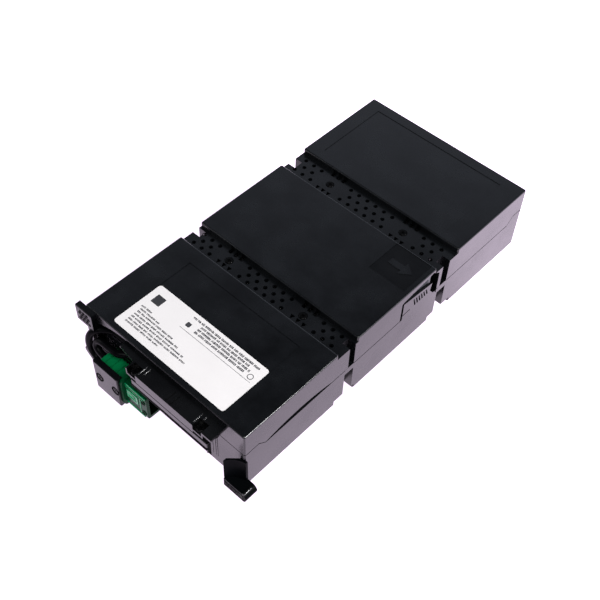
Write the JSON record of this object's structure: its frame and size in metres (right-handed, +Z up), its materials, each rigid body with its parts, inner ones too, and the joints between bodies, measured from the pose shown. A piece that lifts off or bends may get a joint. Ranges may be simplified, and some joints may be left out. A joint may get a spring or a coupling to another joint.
{
  "type": "ups battery cartridge",
  "caption": "Flat battery cartridge for a rack power supply: sealed blocks in a two-part black case with vented strips, a side power connector, a pull bar and a blank label.",
  "frame": {"origin": "centre of the underside of the case, which lies flat on its tray", "axes": "+X to the right seen from the front, +Y from the front with the pull bar to the back, +Z up"},
  "size_m": [0.2196, 0.4225, 0.0769],
  "materials": {
    "case_plastic": "satin, lightly textured, black",
    "front_plastic": "satin, black",
    "block_plastic": "matte, dark grey",
    "foam": "soft cellular foam",
    "lead_jacket": "satin, black",
    "link_jacket": "satin, black",
    "sleeve_nylon": "milky",
    "fuse_plastic": "matte",
    "connector_green": "satin gloss, green",
    "contact_metal": "silver plated",
    "screw_metal": "zinc plated",
    "label_white": "printed film, white"
  },
  "bodies": {
    "root": {"tray": "case_plastic", "cover": "case_plastic", "tab_sleeves": "sleeve_nylon", "positive_lead": "lead_jacket", "negative_lead": "lead_jacket", "link_1_2": "link_jacket", "link_5_6": "link_jacket", "link_2_3": "link_jacket", "link_4_5": "link_jacket", "link_3_fuse": "link_jacket", "link_fuse_4": "link_jacket", "fuse_block": "fuse_plastic", "connector_housing": "connector_green", "contact_positive": "contact_metal", "contact_negative": "contact_metal", "connector_bracket": "front_plastic", "bracket_screws": "screw_metal", "bar_screws": "screw_metal", "cover_screws": "screw_metal", "grip_left": "front_plastic", "grip_right": "front_plastic", "label": "label_white", "battery_1": "block_plastic", "battery_2": "block_plastic", "battery_3": "block_plastic", "battery_4": "block_plastic", "battery_5": "block_plastic", "battery_6": "block_plastic", "foam_pad_1": "foam", "foam_pad_2": "foam", "foam_pad_3": "foam"}
  },
  "joints": []
}
